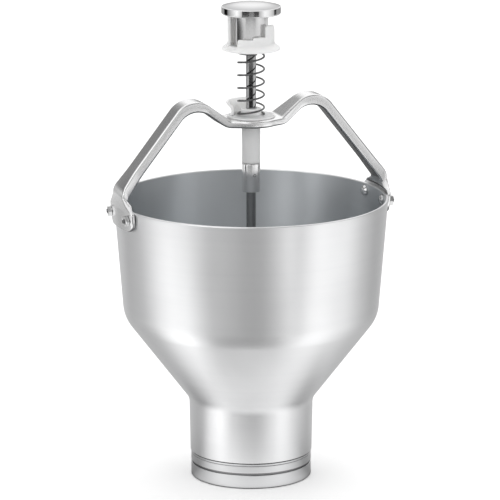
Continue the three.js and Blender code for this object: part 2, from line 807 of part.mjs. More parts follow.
function addPiece(group, name, solid, material) {
  const mesh = new THREE.Mesh(toGeometry(solid), material);
  mesh.name = name;
  group.add(mesh);
  return mesh;
}

addPiece(hopperGroup, "hopper", makeHopper(), materials.spun);
addPiece(hopperGroup, "metering_cylinder", makeMeteringCylinder(), materials.turned);
addPiece(hopperGroup, "cylinder_seal", makeCylinderSeal(), materials.seal);
addPiece(hopperGroup, "handle", makeHandle(), materials.cast);
addPiece(hopperGroup, "guide_bush", makeGuideBush(), materials.nylon);
addPiece(hopperGroup, "spring", makeSpring(), materials.spring);

const screw = makeScrew();
const nut = hexNut(nutAcross, nutThickness, screwRadius + runningFit);
screwAzimuths.forEach((azimuth, i) => {
  const screwMesh = addPiece(hopperGroup, `handle_screw_${i + 1}`, screw, materials.steel);
  screwMesh.applyMatrix4(radialMatrix(wallHere, screwHeight, azimuth, sideTilt, headSeat));
  const nutMesh = addPiece(hopperGroup, `handle_nut_${i + 1}`, nut, materials.steel);
  nutMesh.applyMatrix4(radialMatrix(wallHere, screwHeight, azimuth, sideTilt, nutSeat));
});

addPiece(plungerGroup, "thumb_knob", makeKnob(), materials.chrome);
addPiece(plungerGroup, "knob_core", makeCore(), materials.chrome);
addPiece(plungerGroup, "upper_rod", makeUpperRod(), materials.steel);
addPiece(plungerGroup, "spring_washer",
  ring(rodBore, washerRadius, washerBottom, washerBottom + washerThickness), materials.steel);
addPiece(plungerGroup, "coupling_sleeve", makeSleeve(), materials.chrome);
addPiece(plungerGroup, "lower_rod", makeLowerRod(), materials.steel);
addPiece(plungerGroup, "piston", makePiston(), materials.turned);
addPiece(plungerGroup, "piston_seal", makePistonSeal(), materials.seal);
addPiece(plungerGroup, "spacer_tube",
  ring(tailBore, tailBore + spacerWall, valveTop + seat, pistonHeight - seat, 24), materials.steel);
addPiece(plungerGroup, "valve_disc", makeValveDisc(), materials.turned);
addPiece(plungerGroup, "end_nut",
  hexNut(endNutAcross, endNutThickness, tailBore).translate([0, 0, endNutBottom]), materials.steel);

const pinStart = upperRodRadius + runningFit;
const indexPin = ring(0, indexPinRadius, 0, indexPinReach - pinStart, 16);
addPiece(plungerGroup, "index_pin", indexPin, materials.steel)
  .applyMatrix4(radialMatrix(pinStart, pinHeight, indexPinAzimuth));
const setScrew = ring(0, setScrewRadius, 0, sleeveRadius - upperRodRadius - seat, 16);
addPiece(plungerGroup, "coupling_screw", setScrew, materials.steel)
  .applyMatrix4(radialMatrix(upperRodRadius + seat, sleeveTop - setScrewDrop, setScrewAzimuth));

addPiece(dialGroup, "portion_dial", makePortionDial(), materials.nylon);

export default part;
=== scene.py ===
"""Looks of a hand-held batter dispenser: its surfaces, the studio and the camera."""
import math

import bmesh
import bpy
from mathutils import Matrix, Vector


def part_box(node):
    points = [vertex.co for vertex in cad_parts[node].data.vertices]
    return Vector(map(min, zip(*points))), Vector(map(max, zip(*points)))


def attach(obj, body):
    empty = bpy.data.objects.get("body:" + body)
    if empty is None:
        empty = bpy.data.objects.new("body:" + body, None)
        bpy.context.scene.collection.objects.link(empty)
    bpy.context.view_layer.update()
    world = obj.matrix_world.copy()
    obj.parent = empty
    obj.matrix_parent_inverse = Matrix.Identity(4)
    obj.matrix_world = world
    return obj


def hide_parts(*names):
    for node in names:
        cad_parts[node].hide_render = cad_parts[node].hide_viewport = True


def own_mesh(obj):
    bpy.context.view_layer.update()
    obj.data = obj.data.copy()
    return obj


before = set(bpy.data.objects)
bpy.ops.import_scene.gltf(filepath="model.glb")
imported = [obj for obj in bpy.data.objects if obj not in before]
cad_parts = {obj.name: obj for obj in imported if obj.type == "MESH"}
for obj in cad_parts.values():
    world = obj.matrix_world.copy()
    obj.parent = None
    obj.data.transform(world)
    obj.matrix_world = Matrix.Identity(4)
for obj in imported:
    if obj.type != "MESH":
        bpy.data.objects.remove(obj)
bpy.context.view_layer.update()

MM = 0.001  # lengths below are in millimetres, and meshes are made in metres


def low(node):
    """Lowest corner of a node at rest, in millimetres."""
    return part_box(node)[0] / MM


def high(node):
    """Highest corner of a node at rest, in millimetres."""
    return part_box(node)[1] / MM


def extent(node):
    """The lowest and highest points of a node, and how far it reaches along X."""
    return low(node).z, high(node).z, high(node).x


def middle(node):
    """Height of the middle of a node, and half of its own height."""
    return (low(node).z + high(node).z) / 2, (high(node).z - low(node).z) / 2


# Fits and edges
seat = 0.25  # between two faces that seat on each other
fine_edge = 0.25  # the least rounding of a turned edge
bend_room_share = 0.49  # of the shorter run beside a bend, the most that it takes
shading_margin = 0.12  # from the ends of a long straight run to the points that keep its shading flat
tip_radius = 1e-6  # an outline this close to the axis ends on it

# Hopper
rim = high("hopper")
seam_height = low("hopper").z
sheet = 2.2
shoulder_radius, shoulder_height, shoulder_bend = 95.3, 124.3, 24.8
cone_foot_radius, cone_foot_height, cone_foot_bend = 46.5, 60.4, 13
neck_radius = 45.7
lip_bend = 1.05

# Metering cylinder
base_top = 19
base_chamfer = 0.8
bore_radius = 30
funnel_land, funnel_depth = 1.6, 8
trim_height, trim_width, trim_depth, trim_slope, trim_edge = 11.2, 1.7, 1, 0.1, 0.5
scribe_height, scribe_width, scribe_depth = 17.4, 0.7, 0.55
seam_gap = 0.6
seal_proud, seal_groove_depth = 0.1, 2.3  # out of the spigot's side, and into it

# Handle
boss_rise, boss_thickness, boss_radius = 29.4, 5.4, 20.7  # the rise is from the foot of the guide bush
boss_low = low("guide_bush").z + boss_rise
boss_high = boss_low + boss_thickness
bar_width, bar_thickness, arm_thickness = 17, 6, 7.3
bar_edge = 1.7
bar_blend = 60
dip_reach, dip_slope, dip_bend = 21.4, 36.6, 8
arm_reach, arm_reach_height, arm_slope = 93.7, 241.6, 51.6
crest_radius = 23.5
flat_reach = 14.5  # how far the boss's flat runs out along the bar
blend_y = bar_width / 2 + bar_blend  # the fillet between bar and boss: its centre
blend_x = math.sqrt((boss_radius + bar_blend) ** 2 - blend_y**2)
blend_reach = blend_x * boss_radius / (boss_radius + bar_blend)  # and where it meets the boss
foot_thickness, foot_drop, foot_half_width, foot_corner = 2.6, 15, 25.3, 9
foot_bend, foot_gap = 13, 0.3
ear_rise = 3.5
ankle_rise, ankle_half_width, ankle_thickness, arm_taper = 9.4, 12, 4.6, 21
taper_shares = 0.6, 0.8, 1  # of the taper: where the arm gets sections besides its bends
outer_edge_share, inner_edge_share = 0.42, 0.4  # of the thickness, the most that bar_edge takes
rim_shelf, rim_step, step_end = 0.8, 3.3, 0.1
rim_radius = 102.5
ankle = rim.z + ankle_rise
foot_low = rim.z - foot_drop
bend_low = rim.z + rim_shelf + rim_step + step_end  # where the foot starts to bend towards the arm
screw_drop, screw_angle = 6, 10.2

# Guide bush
bush_tube_radius, bush_flange_radius, bush_hub_radius = 6.85, 18, 7.7
bush_flange, bush_hub = 0.9, 5.3
wing_sunk = 0.45  # how far up in the flange the wing starts
wing_radius, wing_lip_radius, wing_wall, wing_flare, wing_bend, wing_lip_edge = 14.7, 18.65, 1.8, 6, 5, 1.2
wing_from, wing_to = 80, 170

# Return spring
wire_radius, coil_radius, coil_pitch, closed_coil, spring_start = 0.7, 9.7, 9.65, 195, 325

# Rods, screws and pins
rod_bore, tail_bore, tail_radius = 4.05, 3.3, 3
screw_radius, screw_head_radius, screw_head_height, screw_end = 2, 4, 2.3, 0.8
crown_share, side_share, tip_share = 0.55, 0.35, 0.75  # of the head's radius, its height, and the shank
crown_bend, thread_end = 6, 0.4
nut_across, nut_thickness, nut_gap = 7, 2.8, 0.1
nut_bevel, nut_slope, nut_face_share = 0.4, 0.6, 0.97
index_pin_azimuth, index_pin_reach = 66, 16.9
set_screw_azimuth, set_screw_start = 274, 4
socket_share, socket_depth = 0.5, 1.2

# Piston and valve disc
piston_groove, piston_ring = 1.6, 1.75  # depths of the groove and of the seal in it
piston_crown, crown_radius, crown_round = 1.9, 7.2, 3
valve_chamfer = 0.8

# Portion dial. Each step of the wall has the azimuth where it starts, its height as a share of the dial's,
# and the radius of its corner.
dial_wall_radius, dial_wall, dial_floor, dial_edge = 17.4, 1.9, 3.2, 0.7
dial_flange, dial_fillet_height, dial_fillet, dial_least_wall = 1.7, 4.6, 2.4, 0.4
wall_steps = [
    (80, 1, 1.2), (177, 0.114, 1.2), (215, 0.36, 1.2), (255, 0.428, 1.2), (290, 0.739, 1.6), (336, 0.5, 6),
]

# Thumb knob
knob_band, knob_socket = 5.4, 4
dome_share = 0.985  # of the knob's radius, where the dome starts

# Camera: its place in the photograph, worked out from the rim, the base and the handle
camera_azimuth = -20  # degrees, from straight in front towards the left
camera_distance = 3000
camera_height = 876
aim_height = 172.9
aim_left = 0.8
lens_length, film_width = 296.6, 36

# Studio. Each stop of a light plan is a bearing in degrees, 0 towards the camera and more to the right,
# and how bright the studio is there. Floor plans hold from one distance from the axis to the next, in
# metres: each is fully reached at the second of its two distances. The world passes from one plan to the
# next between two heights on a sphere of radius 1.
contact_light = 0.1
floor_plans = [
    (0.0472, 0.0478, [
        (-180, 0.5), (-120, 0.36), (-90, 0.24), (-64, 0.8), (-45, 1.05), (-30, 1.1), (0, 1.12), (20, 1.15),
        (45, 1.05), (64, 0.8), (90, 0.28), (120, 0.4), (180, 0.5),
    ]),
    (0.1, 0.13, [
        (-180, 0.6), (-140, 0.58), (-105, 0.5), (-90, 0.62), (-74, 1.3), (-54, 1.7), (-42, 1.1), (-30, 0.5),
        (-18, 0.36), (5, 0.36), (20, 0.5), (32, 0.95), (46, 1.4), (60, 1.35), (78, 0.95), (95, 0.72),
        (115, 0.55), (135, 0.6), (180, 0.6),
    ]),
    (0.3, 0.52, [
        (-180, 0.66), (-150, 0.66), (-128, 0.42), (-103, 0.7), (-84, 1.4), (-70, 1.36), (-48, 0.18),
        (-34, 0), (-25, 0.28), (-14, 0.48), (-5, 0.36), (10, 0.5), (20, 0.98), (30, 1.28), (40, 0.46),
        (54, 1.25), (84, 1.35), (105, 0.7), (125, 0.42), (145, 0.5), (165, 0.8), (180, 0.66),
    ]),
    (0.98, 1.01, [
        (-180, 0.5), (-120, 0.4), (-100, 0.6), (-88, 1.3), (-48, 1.1), (-36, 0.05), (-14, 0.25), (8, 0.2),
        (24, 0.6), (44, 0.5), (60, 0.9), (84, 1.4), (104, 1), (124, 0.4), (180, 0.6),
    ]),
    (1.03, 1.06, [
        (-180, 0.6), (-160, 0.85), (-125, 0.85), (-108, 0.6), (-84, 1.3), (-68, 1.3), (-40, 0.6),
        (-30, 0.5), (-20, 0.65), (-5, 0.5), (5, 0.5), (20, 0.9), (60, 1.05), (90, 1), (110, 0.7),
        (130, 0.4), (180, 0.5),
    ]),
    (1.28, 1.34, [
        (-180, 0.8), (-130, 0.6), (-120, 0.2), (-112, 0.2), (-98, 1.1), (-58, 1.1), (-44, 0), (36, 0),
        (52, 0.7), (70, 1.1), (100, 1.1), (130, 0.7), (180, 0.8),
    ]),
    (1.66, 1.74, [
        (-180, 0.7), (-132, 0.7), (-122, 0.04), (-90, 0.04), (-78, 0.1), (-60, 0.34), (-46, 0.66),
        (-28, 0.72), (60, 0.76), (110, 0.76), (140, 0.7), (180, 0.7),
    ]),
    (2.0, 2.016, [
        (-180, 0.4), (-132, 0.35), (-124, 0), (-107, 0), (-101, 0.3), (-71, 0.95), (-56, 1.25),
        (-36, 0.6), (-34, 0), (-9, 0), (-7, 0.16), (10, 0.18), (12, 0), (29, 0), (32, 0.5),
        (55, 1.12), (70, 1), (92, 0.62), (99, 0.5), (102, 0), (112, 0), (117, 0.3), (180, 0.3),
    ]),
    (2.2, 2.25, [
        (-180, 0.2), (-130, 0.6), (-105, 0.5), (-80, 0.4), (-48, 0.6), (60, 0.72), (110, 0.72), (180, 0.2),
    ]),
]
low_light = [
    (-180, 0.2), (-160, 0.5), (-125, 0.7), (-95, 0.75), (-70, 1.3), (-60, 1.2), (-40, 0.6), (-25, 0.45),
    (15, 0.45), (40, 0.9), (60, 1.15), (80, 1.1), (100, 0.7), (125, 0.3), (160, 0.4), (180, 0.2),
]
high_light = [
    (-180, 1.2), (-170, 1.1), (-158, 0.3), (-130, 0.16), (-80, 0.2), (-66, 0.6), (-54, 1.7), (-28, 1.8),
    (-15, 0.75), (10, 0.6), (25, 0.65), (42, 0.75), (54, 1), (66, 0.75), (80, 0.25), (130, 0.24),
    (150, 0.5), (162, 1), (172, 1.15), (180, 1.2),
]
upper_light = [
    (-180, 1.4), (-90, 0.85), (-65, 1.2), (-8, 1.2), (4, 0.12), (64, 0.12), (78, 0.85), (180, 1.4),
]
overhead_light = 0.95
low_to_high, high_to_upper, upper_to_overhead = (0.03, 0.24), (0.42, 0.62), (0.8, 0.92)
floor_half_side = 12  # metres
floor_lift = 0.13  # what the camera sees of the floor beyond its lit colour


def polar(radius, degrees):
    return radius * math.cos(math.radians(degrees)), radius * math.sin(math.radians(degrees))


def mix(a, b, share):
    return a + (b - a) * share


def clamp(value, lowest=0, highest=1):
    return max(lowest, min(highest, value))


def ease(share):
    share = clamp(share)
    return share * share * (3 - 2 * share)


class Wire:
    """The output of a node. Sums and products on it add Math nodes."""

    def __init__(self, web, socket):
        self.web = web
        self.socket = socket

    def maths(self, operation, *others):
        """A Math node on this wire and any others."""
        inputs = dict(enumerate((self, *others)))
        return self.web.node("ShaderNodeMath", inputs, operation=operation)

    def __add__(self, other):
        return self.maths("ADD", other)

    __radd__ = __add__

    def __sub__(self, other):
        return self.maths("SUBTRACT", other)

    def __rsub__(self, other):
        return self.web.node("ShaderNodeMath", {0: other, 1: self}, operation="SUBTRACT")

    def __mul__(self, other):
        return self.maths("MULTIPLY", other)

    __rmul__ = __mul__

    def __pow__(self, other):
        return self.maths("POWER", other)

    def least(self, other):
        return self.maths("MINIMUM", other)

    def most(self, other):
        return self.maths("MAXIMUM", other)

    def parts(self):
        """The three numbers of a vector."""
        names = ("X", "Y", "Z")
        return [self.web.node("ShaderNodeSeparateXYZ", {0: self}, give=name) for name in names]


class Web:
    """The nodes of one material or of the world."""

    def __init__(self, tree):
        self.tree = tree

    def node(self, kind, inputs=None, give=0, stops=None, **settings):
        """Adds a node with its settings, a ramp's stops and its inputs, and gives one of its outputs."""
        made = self.tree.nodes.new(kind)
        for name, value in settings.items():
            setattr(made, name, value)
        if stops:
            elements = made.color_ramp.elements
            while len(elements) < len(stops):
                elements.new(1)
            for element, (place, grey) in zip(elements, stops):
                element.position = place
                element.color = (grey, grey, grey, 1)
        for name, value in (inputs or {}).items():
            self.feed(made.inputs[name], value)
        return Wire(self, made.outputs[give])

    def feed(self, socket, value):
        if isinstance(value, Wire):
            self.tree.links.new(value.socket, socket)
        else:
            socket.default_value = value

    def noise(self, place, scale, detail, rough=0.5):
        inputs = {"Vector": place, "Scale": scale, "Detail": detail, "Roughness": rough}
        return self.node("ShaderNodeTexNoise", inputs, give="Fac")

    def patches(self, size, detail=3, rough=0.5):
        """Noise in patches of about this many millimetres."""
        return self.noise(self.place(), 1 / (size * MM), detail, rough)

    def blend(self, share, first, second):
        """Mixes two colours, each a wire or three numbers."""
        colours = [colour if isinstance(colour, Wire) else (*colour, 1) for colour in (first, second)]
        inputs = {0: share, 6: colours[0], 7: colours[1]}
        return self.node("ShaderNodeMix", inputs, give=2, data_type="RGBA")

    def bump(self, height, depth):
        """A normal from a height between 0 and 1 that stands for depth millimetres."""
        return self.node("ShaderNodeBump", {"Height": height, "Distance": depth * MM, "Strength": 1})

    def place(self):
        """Where a point is at rest, in metres."""
        return self.node("ShaderNodeTexCoord", give="Object")

    def facing(self):
        """The three numbers of the surface's normal."""
        return self.node("ShaderNodeNewGeometry", give="Normal").parts()


class Finish(Web):
    """One material: a Principled shader and what feeds it."""

    def __init__(self, name, slot):
        self.material = bpy.data.materials.new(name)
        self.material.use_nodes = True
        super().__init__(self.material.node_tree)
        self.shader = self.tree.nodes["Principled BSDF"]
        self.slot = slot

    def shade(self, **sockets):
        """Feeds the shader's sockets, whose names are written with underscores for spaces."""
        for name, value in sockets.items():
            socket = name.replace("_", " ").title().replace("Ior", "IOR")
            self.feed(self.shader.inputs[socket], value)
        return self

    def grain_round_axis(self, length, width, detail=4):
        """Noise drawn out round the axis, with grains of this length and width in millimetres."""
        x, y, z = self.place().parts()
        radius = off_axis(x, y)
        along, across = 1 / length / MM, 1 / width / MM
        inputs = {0: x * along, 1: y * along, 2: (z + radius) * across}
        return self.noise(self.node("ShaderNodeCombineXYZ", inputs), 1, detail)


def off_axis(x, y):
    """How far from the axis a point is, from the wires of its place."""
    return (x * x + y * y) ** 0.5


def rising(value, start, end):
    """Goes smoothly from 0 to 1 as a wire's value goes from start to end."""
    share = ((value - start) * (1 / (end - start))).most(0).least(1)
    return share * share * (3 - 2 * share)


def past(place, start, end):
    """The same for a place in metres that goes from start to end in millimetres."""
    return rising(place, start * MM, end * MM)


def between(share, first, second):
    """Goes from one wire or number to another as share goes from 0 to 1."""
    return (1 - share) * first + share * second


def brushed_finish(name, dark, light, roughness, grain_width, anisotropy, worked):
    """Metal worked round the axis: fine rings over a broader, fainter cloudiness. The function called
    worked changes the colour in places."""
    finish = Finish(name, name)
    rings = finish.grain_round_axis(90, grain_width)
    bands = finish.grain_round_axis(400, grain_width * 9, detail=2)
    clouds = finish.patches(38, 2)
    colour = worked(finish, finish.blend(rings * 0.5 + bands * 0.5, dark, light))
    return finish.shade(
        base_color=colour,
        metallic=1.0,
        roughness=rings * 0.1 + clouds * 0.08 + (roughness - 0.09),
        anisotropic=anisotropy,
        anisotropic_rotation=0.25,
        normal=finish.bump(rings, 0.004),
    )


def spun_aluminium():
    """The hopper's sheet: buffed outside, and darker in colour inside as painted shade in the bowl."""
    def painted_shade_inside(finish, colour):
        x, y, z = finish.place().parts()
        out_x, out_y, _ = finish.facing()
        outside = rising(x * out_x + y * out_y, -0.01, 0.01)
        lip = past(z, rim.z - 1.2, rim.z - 0.6)
        # painted shade: the inside below the lip is darker in colour
        return finish.blend(outside.most(lip), (0.68, 0.702, 0.72), colour)
    dark, light = (0.85, 0.855, 0.865), (0.92, 0.922, 0.925)
    return brushed_finish("spun_aluminium", dark, light, 0.36, 0.5, 0.9, painted_shade_inside)


def turned_aluminium():
    """The metering parts: turned bright, with painted shade in the corners of the base ring's grooves."""
    def painted_shade_in_grooves(finish, colour):
        x, y, z = finish.place().parts()
        radius = off_axis(x, y)
        ring = high("metering_cylinder").x
        below_face = 1 - past(radius, ring - 0.7, ring - 0.1)
        near_face = past(radius, ring - 3.4, ring - 2.6)
        low_down = 1 - past(z, base_top + 1, base_top + 1.5)
        off_floor = past(z, 1, 1.5)
        # painted shade: darker colour deep in the base ring's grooves and at the spigot's foot
        return finish.blend(below_face * near_face * low_down * off_floor, colour, (0.25, 0.25, 0.255))
    dark, light = (0.66, 0.665, 0.675), (0.76, 0.762, 0.765)
    return brushed_finish("turned_aluminium", dark, light, 0.31, 0.35, 0.85, painted_shade_in_grooves)


def cast_aluminium():
    """Cast, then polished by hand where a hand reaches: bright, with the faint waviness that a buff leaves.
    Underneath it is rougher, and its colour there is darkened as painted shade."""
    finish = Finish("cast_aluminium", "cast_aluminium")
    waves = finish.patches(11, 2)
    scratches = finish.patches(0.7, 5, 0.6)
    clouds = finish.patches(24)
    _, _, normal_up = finish.facing()
    beneath = rising(0 - normal_up, 0.3, 0.62)
    polished = finish.blend(clouds, (0.82, 0.82, 0.825), (0.88, 0.88, 0.88))
    return finish.shade(
        # painted shade: faces that look down are much darker in colour, and rougher as well
        base_color=finish.blend(beneath, polished, (0.17, 0.17, 0.175)),
        metallic=1.0,
        roughness=clouds * 0.08 + scratches * 0.05 + beneath * 0.2 + 0.16,
        normal=finish.bump(waves * 0.9 + scratches * 0.1, 0.05),
    )


def bright_finish(name, slot, marks, dark, light, spread, roughness):
    """Bright metal with faint turning marks, whose length and width are in millimetres."""
    finish = Finish(name, slot)
    rings = finish.grain_round_axis(*marks)
    return finish.shade(
        base_color=finish.blend(rings, dark, light),
        metallic=1.0,
        roughness=rings * spread + roughness,
    )


def satin_chrome():
    """The core under the knob."""
    dark, light = (0.78, 0.78, 0.785), (0.86, 0.86, 0.86)
    return bright_finish("satin_chrome", "chrome", (60, 0.4), dark, light, 0.02, 0.05)


def coupling_steel():
    dark, light = (0.82, 0.82, 0.825), (0.9, 0.9, 0.9)
    return bright_finish("coupling_steel", "chrome", (50, 0.4), dark, light, 0.03, 0.1)


def polished_steel():
    """The rods, the spacer, the washer and the pins."""
    dark, light = (0.34, 0.34, 0.345), (0.42, 0.42, 0.42)
    return bright_finish("polished_steel", "polished_steel", (40, 0.3), dark, light, 0.03, 0.06)


def chrome():
    """The knob: a mirror on its band, and a turned sheen on its dome, whose colour darkens towards its rim
    as painted shade.
    """
    finish = Finish("chrome", "chrome")
    rings = finish.grain_round_axis(60, 0.25)
    x, y, z = finish.place().parts()
    edge = low("thumb_knob").z + knob_band
    dome = past(z, edge, edge + 0.3)
    outwards = past(off_axis(x, y), 9, 22)
    mirror = finish.blend(rings, (0.84, 0.84, 0.845), (0.88, 0.88, 0.88))
    sheen = finish.blend(rings, (0.68, 0.68, 0.685), (0.78, 0.78, 0.78))
    # painted shade: the dome's colour darkens towards its rim
    sheen = finish.blend(outwards, sheen, (0.4, 0.4, 0.405))
    return finish.shade(
        base_color=finish.blend(dome, mirror, sheen),
        metallic=1.0,
        roughness=rings * 0.02 + dome * 0.24 + 0.03,
    )


def spring_wire():
    finish = Finish("spring_wire", "spring_wire")
    drawn = finish.patches(0.4, 4)
    return finish.shade(
        base_color=finish.blend(drawn, (0.13, 0.13, 0.135), (0.18, 0.18, 0.18)),
        metallic=1.0,
        roughness=drawn * 0.1 + 0.22,
        normal=finish.bump(drawn, 0.0008),
    )


def fastener_steel(name, dark, light, roughness, thread_from=None):
    """Bright fastenings. Beyond a distance from the axis, a screw's thread is darker."""
    finish = Finish(name, "fasteners")
    scratches = finish.patches(0.5, 4, 0.6)
    colour = finish.blend(scratches, dark, light)
    if thread_from:
        x, y, _ = finish.place().parts()
        thread = past(off_axis(x, y), thread_from, thread_from + 0.4)
        colour = finish.blend(thread, colour, (0.2, 0.2, 0.205))
    return finish.shade(
        base_color=colour,
        metallic=1.0,
        roughness=scratches * 0.14 + (roughness - 0.07),
        normal=finish.bump(scratches, 0.004),
    )


def nylon():
    """Moulded nylon: milky, with a soft sheen and the faintest unevenness of its skin."""
    finish = Finish("nylon", "nylon")
    unevenness = finish.patches(0.8)
    clouds = finish.patches(9, 2)
    return finish.shade(
        base_color=finish.blend(clouds, (0.84, 0.84, 0.835), (0.88, 0.88, 0.875)),
        roughness=clouds * 0.12 + 0.36,
        subsurface_weight=0.8,
        subsurface_radius=(6.0, 5.9, 5.8),
        subsurface_scale=MM,
        normal=finish.bump(unevenness, 0.004),
    )


def seal_rubber():
    finish = Finish("seal_rubber", "seal")
    unevenness = finish.patches(0.5, 4)
    return finish.shade(
        base_color=finish.blend(unevenness, (0.62, 0.62, 0.6), (0.7, 0.7, 0.68)),
        roughness=unevenness * 0.2 + 0.5,
        normal=finish.bump(unevenness, 0.01),
    )


def rounded(corners, closed=False, facet=4):
    """A line of points through (across, up, bend radius) corners, with an arc at each bend."""
    points = []
    count = len(corners)
    for i, (x, y, *bend) in enumerate(corners):
        corner = Vector((x, y))
        if not bend or not (closed or 0 < i < count - 1):
            points.append(corner)
            continue
        before = Vector(corners[i - 1][:2]) - corner
        after = Vector(corners[(i + 1) % count][:2]) - corner
        room = bend_room_share * min(before.length, after.length)
        before.normalize()
        after.normalize()
        half = math.acos(clamp(before.dot(after), -1, 1)) / 2
        radius = min(bend[0], room * math.tan(half))
        centre = corner + (before + after).normalized() * (radius / math.sin(half))
        start = corner + before * (radius / math.tan(half)) - centre
        sweep = math.copysign(math.pi - 2 * half, before.y * after.x - before.x * after.y)
        steps = max(2, math.ceil(math.degrees(abs(sweep)) / facet))
        turns = [Matrix.Rotation(sweep * k / steps, 2) for k in range(steps + 1)]
        points += [centre + turn @ start for turn in turns]
    return points


def with_margins(points, closed):
    """The same line, with a point near either end of each long straight run."""
    line = []
    for i, point in enumerate(points):
        line.append(point)
        if i == len(points) - 1 and not closed:
            break
        ahead = points[(i + 1) % len(points)]
        stretch = ahead - point
        if stretch.length > 4 * shading_margin:
            step = stretch.normalized() * shading_margin
            line += [point + step, ahead - step]
    return line


def skin(rows, closed, capped=False):
    """A mesh through closed rows of points in millimetres. A row of one point is a tip."""
    shape = bmesh.new()
    made = [[shape.verts.new(Vector(point) * MM) for point in row] for row in rows]
    following = made[1:] + made[:1] if closed else made[1:]
    for first, second in zip(made, following):
        size = max(len(first), len(second))
        for i in range(size):
            j = (i + 1) % size
            places = (first, i), (first, j), (second, j), (second, i)
            corners = list(dict.fromkeys(row[k % len(row)] for row, k in places))
            if len(corners) > 2:
                shape.faces.new(corners)
    if capped:
        shape.faces.new(made[0])
        shape.faces.new(made[-1])
    bmesh.ops.recalc_face_normals(shape, faces=shape.faces)
    return shape


def turned(corners, around=192, facet=4):
    """A solid turned about the axis from (radius, height, bend) corners."""
    closed = corners[0][0] > 0
    rows = []
    for radius, height in with_margins(rounded(corners, closed, facet), closed):
        if radius < tip_radius:
            rows.append([(0, 0, height)])
        else:
            rows.append([(*polar(radius, 360 * i / around), height) for i in range(around)])
    return skin(rows, closed)


def upright(outline, azimuth):
    """A (radius, height) outline as a row of points at one azimuth."""
    return [(*polar(radius, azimuth), height) for radius, height in outline]


def swept(corners, start, end, step=2):
    """A (radius, height, bend) outline swept round the axis from one azimuth to another."""
    outline = rounded(corners, True, 12)
    steps = math.ceil((end - start) / step)
    rows = [upright(outline, mix(start, end, i / steps)) for i in range(steps + 1)]
    return skin(rows, False, capped=True)


def mesh_of(name, shape):
    mesh = bpy.data.meshes.new(name)
    shape.to_mesh(mesh)
    shape.free()
    return mesh


def put(name, data):
    """A new object in the scene."""
    made = bpy.data.objects.new(name, data)
    bpy.context.scene.collection.objects.link(made)
    return made


def aim(made, place, target):
    """Puts a lamp or the camera at a place, looking at a target."""
    made.location = place
    made.rotation_euler = (target - place).to_track_quat("-Z", "Y").to_euler()


def joined(*shapes):
    """Several shapes as one."""
    whole = bmesh.new()
    for shape in shapes:
        part = mesh_of("part", shape)
        whole.from_mesh(part)
        bpy.data.meshes.remove(part)
    return whole


def piece(name, shape, finish, body, *nodes, sharp=34):
    """Puts a shape into the scene with its finish, on its body and in place of its nodes."""
    mesh = mesh_of(name, shape)
    mesh.shade_smooth()
    mesh.set_sharp_from_angle(angle=math.radians(sharp))
    mesh.materials.append(finish.material)
    made = put(name, mesh)
    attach(made, body)
    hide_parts(*nodes)
    return made


def parallel(corners, distance):
    """An open outline moved in by a distance, with its bends kept parallel."""
    moved = []
    for i, (x, y, *bend) in enumerate(corners):
        normals = []
        for a, b in ((i - 1, i), (i, i + 1)):
            if 0 <= a and b < len(corners):
                along = Vector(corners[b][:2]) - Vector(corners[a][:2])
                normals.append(Vector((-along.y, along.x)).normalized())
        first, last = normals[0], normals[-1]
        shift = (first + last) * (distance / (1 + first.dot(last)))
        turn = first.x * last.y - first.y * last.x
        moved.append((x + shift.x, y + shift.y, *(b - math.copysign(distance, turn) for b in bend)))
    return moved


def make_hopper(finish):
    outer = [
        (neck_radius, seam_height + seam_gap),
        (cone_foot_radius, cone_foot_height, cone_foot_bend),
        (shoulder_radius, shoulder_height, shoulder_bend),
        (rim.x, rim.z),
    ]
    inner = parallel(outer, sheet)[::-1]
    outer[0] = (*outer[0][:2], fine_edge)
    outer[-1] = (*outer[-1][:2], lip_bend)
    inner[0] = (inner[0][0], rim.z, lip_bend)
    inner[-1] = (inner[-1][0], seam_height)
    piece("spun_hopper", turned(outer + inner, 256, 3), finish, "hopper_body", "hopper")


def make_metering_cylinder(finish):
    _, spigot_top, ring = extent("metering_cylinder")
    seal_low, seal_high, seal_reach = extent("cylinder_seal")
    spigot = seal_reach - seal_proud
    half = trim_width / 2
    depth = spigot - seal_groove_depth
    corners = [
        (bore_radius, 0, fine_edge),
        (ring - base_chamfer, 0, fine_edge),
        (ring, base_chamfer, fine_edge),
        (ring, trim_height - half, trim_edge),
        (ring - trim_depth, trim_height - half + trim_slope),
        (ring - trim_depth, trim_height + half),
        (ring, trim_height + half, fine_edge),
        (ring, scribe_height - scribe_width / 2, fine_edge / 2),
        (ring - scribe_depth, scribe_height),
        (ring, scribe_height + scribe_width / 2, fine_edge / 2),
        (ring, base_top, 0.4),
        (spigot, base_top),
        (spigot, seal_low - seat, fine_edge),
        (depth, seal_low - seat),
        (depth, seal_high + seat),
        (spigot, seal_high + seat, fine_edge),
        (spigot, spigot_top, fine_edge),
        (spigot - funnel_land, spigot_top, fine_edge),
        (bore_radius, spigot_top - funnel_depth, fine_edge),
    ]
    piece("base_ring_and_cylinder", turned(corners, 256, 15), finish, "hopper_body", "metering_cylinder")


def wire_section(ring, wire, azimuth, height, sides):
    """A row of points round a wire that runs round the axis."""
    circle = [polar(wire, 360 * i / sides) for i in range(sides)]
    return [(*polar(ring + out, azimuth), height + up) for out, up in circle]


def make_seals(finish):
    height, wire = middle("cylinder_seal")
    ring = high("cylinder_seal").x - wire
    around = 192
    rows = [wire_section(ring, wire, 360 * i / around, height, 24) for i in range(around)]
    piece("cylinder_seal_ring", skin(rows, True), finish, "hopper_body", "cylinder_seal")
    bottom, top, outside = extent("piston_seal")
    corners = [
        (outside - piston_ring, bottom),
        (outside, bottom, 0.6),
        (outside, top, 0.6),
        (outside - piston_ring, top),
    ]
    piece("piston_seal_ring", turned(corners), finish, "plunger", "piston_seal")


def side_radius(height):
    """Outer radius of the hopper's tapered side."""
    return mix(shoulder_radius, rim_radius, (height - shoulder_height) / (rim.z - shoulder_height))


